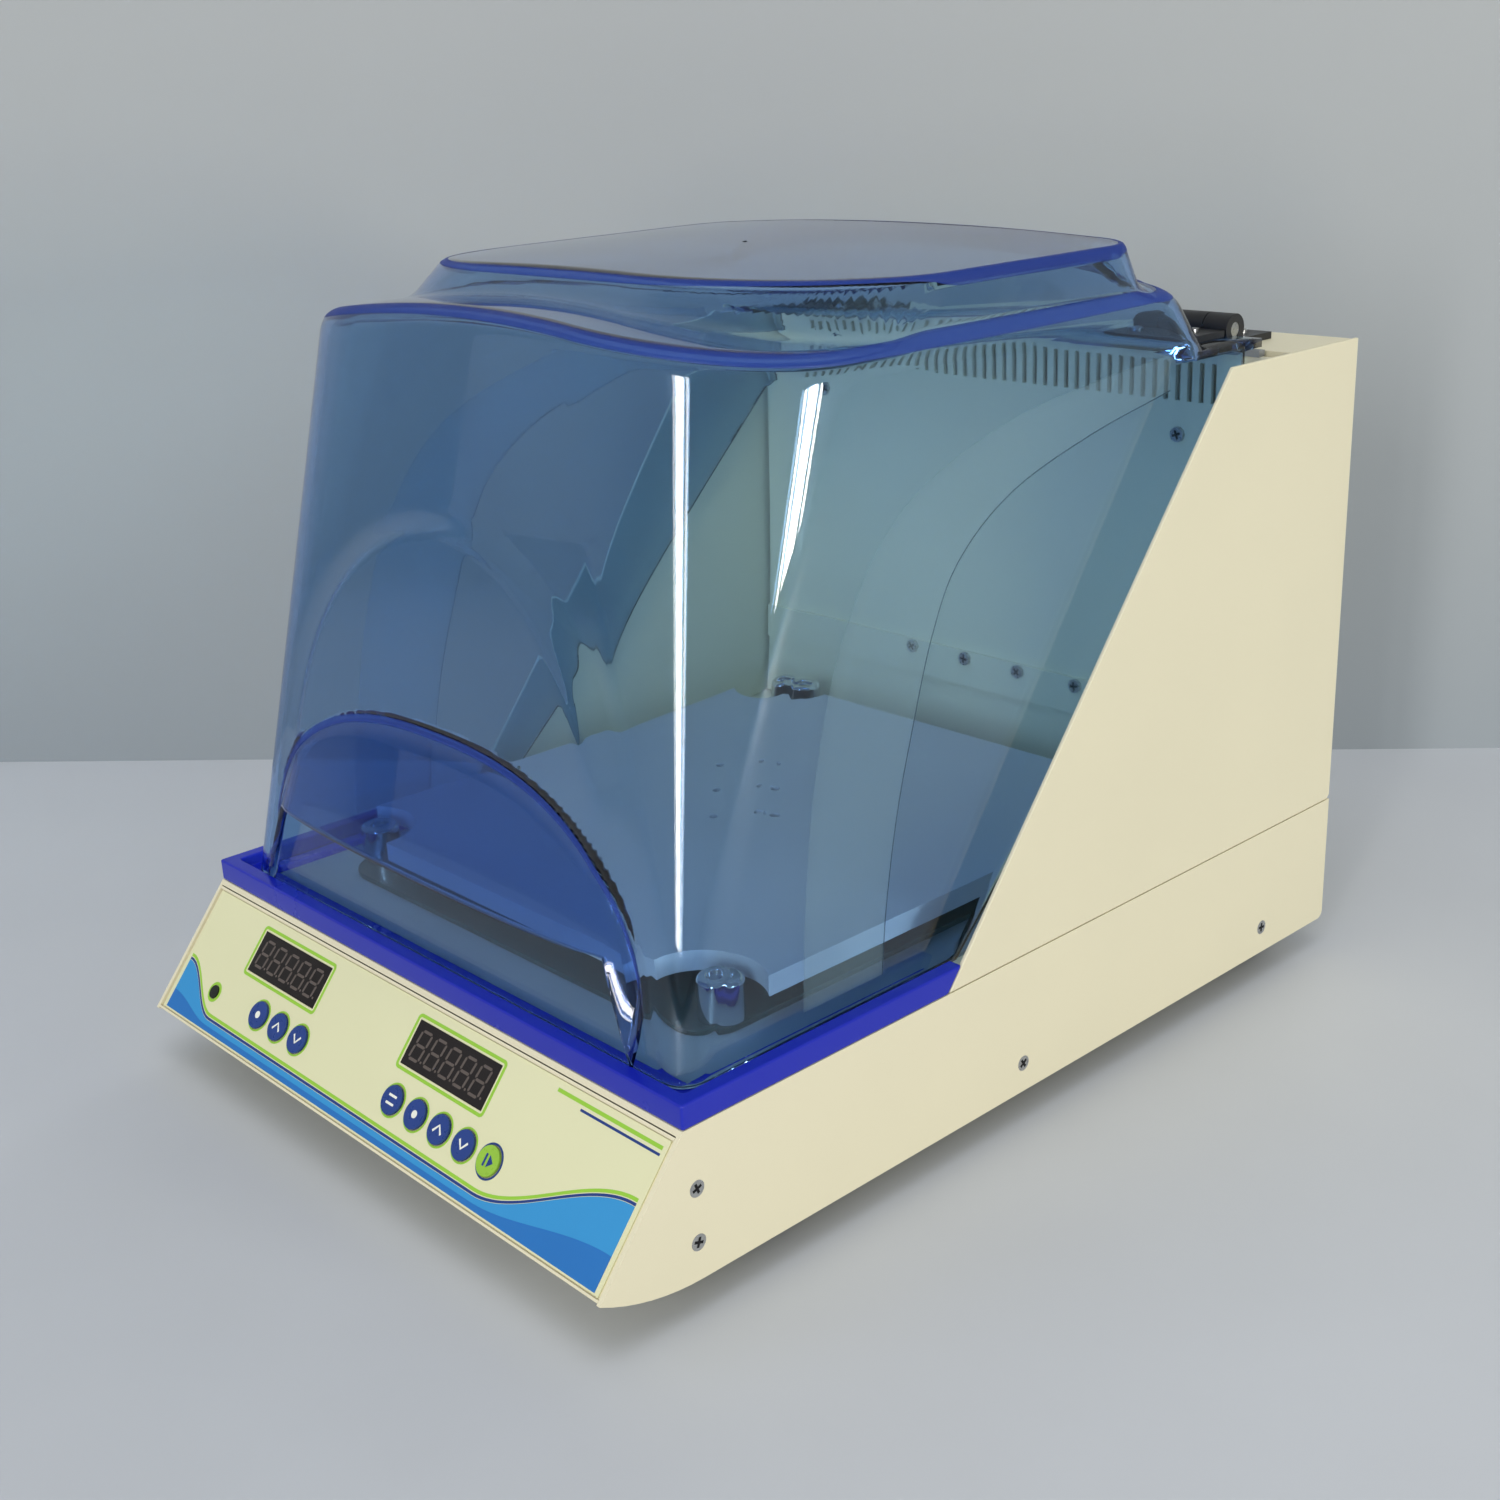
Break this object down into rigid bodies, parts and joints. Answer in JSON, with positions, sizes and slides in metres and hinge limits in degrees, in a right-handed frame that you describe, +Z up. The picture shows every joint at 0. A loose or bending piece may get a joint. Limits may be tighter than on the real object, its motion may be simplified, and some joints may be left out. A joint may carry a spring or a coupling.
{
  "type": "incubated benchtop shaker",
  "caption": "Benchtop incubator shaker: heated chamber with an orbiting platform under a hinged clear blue lid, on a low casing with a sloped keypad.",
  "frame": {"origin": "on the bench, under the middle of the instrument's footprint", "axes": "+X to the right as seen from the control panel, +Y to the back, +Z up"},
  "size_m": [0.26, 0.364, 0.282],
  "materials": {
    "cream_paint": "fine powder coat, satin",
    "blue_rim": "moulded, glossy",
    "clear_blue": "transparent tinted moulding, polished",
    "keypad_print": "printed polyester film, satin",
    "display_window": "dark window, glossy",
    "navy_key": "smooth, glossy",
    "green_key": "smooth, glossy",
    "red_lamp": "translucent, glossy",
    "circuit_board": "solder mask",
    "black_plastic": "moulded, fine texture",
    "black_rubber": "moulded, matte",
    "grey_paint": "powder coat, satin",
    "dark_paint": "powder coat, matte",
    "chromed_steel": "polished chrome plating",
    "bare_steel": "turned or ground",
    "cast_alloy": "machined",
    "bush_brass": "machined",
    "belt_rubber": "moulded, matte",
    "seal_rubber": "soft foam"
  },
  "bodies": {
    "housing": {"base_casing": "cream_paint", "bottom_tray": "cream_paint", "rubber_feet": "black_rubber", "casing_screws": "bare_steel", "front_panel": "cream_paint", "keypad_overlay": "keypad_print", "control_board": "circuit_board", "temperature_display": "display_window", "speed_display": "display_window", "heat_lamp": "red_lamp", "key_switches": "black_plastic", "rim_frame": "blue_rim", "right_hood_side": "cream_paint", "left_hood_side": "cream_paint", "hood_cover": "cream_paint", "back_wall": "cream_paint", "wall_strip": "cream_paint", "wall_screws": "bare_steel", "wall_seal": "seal_rubber", "chamber_floor": "dark_paint", "drive_cover": "dark_paint", "corner_posts": "chromed_steel", "bearing_plate": "bare_steel", "spindle_housing": "cast_alloy", "spindle_bearings": "bare_steel", "idler_bushes": "bush_brass", "drive_motor": "black_plastic", "drive_belt": "belt_rubber", "hood_hinge_leaves": "black_plastic", "hinge_pins": "bare_steel", "hood_hinge_screws": "bare_steel", "air_heater": "cast_alloy", "fan_frame": "black_plastic", "temperature_sensor": "bare_steel", "rear_panel": "cream_paint", "mains_inlet": "black_plastic", "inlet_contacts": "bush_brass", "switch_frame": "black_plastic", "power_supply": "grey_paint"},
    "spindle": {"drive_crank": "bare_steel", "drive_pulley": "cast_alloy", "counterweight": "bare_steel"},
    "shaking_platform": {"platform": "grey_paint", "platform_hubs": "cast_alloy"},
    "right_idler": {"right_idler_crank": "bare_steel"},
    "left_idler": {"left_idler_crank": "bare_steel"},
    "motor_rotor": {"motor_pulley": "bare_steel"},
    "fan": {"fan_rotor": "black_plastic"},
    "lid": {"lid_shell": "clear_blue", "lid_hinge_leaves": "black_plastic", "lid_hinge_screws": "bare_steel"},
    "rocker": {"mains_rocker": "black_plastic"},
    "temperature_set_key_body": {"temperature_set_key": "navy_key"},
    "temperature_up_key_body": {"temperature_up_key": "navy_key"},
    "temperature_down_key_body": {"temperature_down_key": "navy_key"},
    "mode_key_body": {"mode_key": "navy_key"},
    "speed_set_key_body": {"speed_set_key": "navy_key"},
    "speed_up_key_body": {"speed_up_key": "navy_key"},
    "speed_down_key_body": {"speed_down_key": "navy_key"},
    "start_stop_key_body": {"start_stop_key": "green_key"}
  },
  "joints": [
    {"name": "lid_open", "type": "hinge", "parent": "housing", "child": "lid", "pos_m": [0, 0.1425, 0.2435], "axis": [-1, 0, 0], "range_deg": [0, 75]},
    {"name": "drive_spin", "type": "hinge", "parent": "housing", "child": "spindle", "pos_m": [0, 0.008, 0.06], "axis": [0, 0, 1], "continuous": true},
    {"name": "platform_hold", "type": "hinge", "parent": "spindle", "child": "shaking_platform", "pos_m": [0, -0.0015, 0.075], "axis": [0, 0, 1], "continuous": true},
    {"name": "right_idler_turn", "type": "hinge", "parent": "housing", "child": "right_idler", "pos_m": [0.062, 0.008, 0.06], "axis": [0, 0, 1], "continuous": true},
    {"name": "left_idler_turn", "type": "hinge", "parent": "housing", "child": "left_idler", "pos_m": [-0.062, 0.008, 0.06], "axis": [0, 0, 1], "continuous": true},
    {"name": "motor_turn", "type": "hinge", "parent": "housing", "child": "motor_rotor", "pos_m": [-0.066, 0.078, 0.03], "axis": [0, 0, 1], "continuous": true},
    {"name": "fan_turn", "type": "hinge", "parent": "housing", "child": "fan", "pos_m": [0, 0.1446, 0.178], "axis": [0, 1, 0], "continuous": true},
    {"name": "rocker_tilt", "type": "hinge", "parent": "housing", "child": "rocker", "pos_m": [-0.05, 0.175, 0.036], "axis": [1, 0, 0], "range_deg": [0, 10]},
    {"name": "temperature_set_key_press", "type": "slide", "parent": "housing", "child": "temperature_set_key_body", "axis": [0, 0.7737, -0.6336], "range_m": [0, 0.0005], "stiffness_N_per_m": 400},
    {"name": "temperature_up_key_press", "type": "slide", "parent": "housing", "child": "temperature_up_key_body", "axis": [0, 0.7737, -0.6336], "range_m": [0, 0.0005], "stiffness_N_per_m": 400},
    {"name": "temperature_down_key_press", "type": "slide", "parent": "housing", "child": "temperature_down_key_body", "axis": [0, 0.7737, -0.6336], "range_m": [0, 0.0005], "stiffness_N_per_m": 400},
    {"name": "mode_key_press", "type": "slide", "parent": "housing", "child": "mode_key_body", "axis": [0, 0.7737, -0.6336], "range_m": [0, 0.0005], "stiffness_N_per_m": 400},
    {"name": "speed_set_key_press", "type": "slide", "parent": "housing", "child": "speed_set_key_body", "axis": [0, 0.7737, -0.6336], "range_m": [0, 0.0005], "stiffness_N_per_m": 400},
    {"name": "speed_up_key_press", "type": "slide", "parent": "housing", "child": "speed_up_key_body", "axis": [0, 0.7737, -0.6336], "range_m": [0, 0.0005], "stiffness_N_per_m": 400},
    {"name": "speed_down_key_press", "type": "slide", "parent": "housing", "child": "speed_down_key_body", "axis": [0, 0.7737, -0.6336], "range_m": [0, 0.0005], "stiffness_N_per_m": 400},
    {"name": "start_stop_key_press", "type": "slide", "parent": "housing", "child": "start_stop_key_body", "axis": [0, 0.7737, -0.6336], "range_m": [0, 0.0005], "stiffness_N_per_m": 400}
  ],
  "couplings": [
    {"joint": "platform_hold", "follows": "drive_spin", "ratio": -1},
    {"joint": "right_idler_turn", "follows": "drive_spin", "ratio": 1},
    {"joint": "left_idler_turn", "follows": "drive_spin", "ratio": 1},
    {"joint": "motor_turn", "follows": "drive_spin", "ratio": 4.2222}
  ]
}
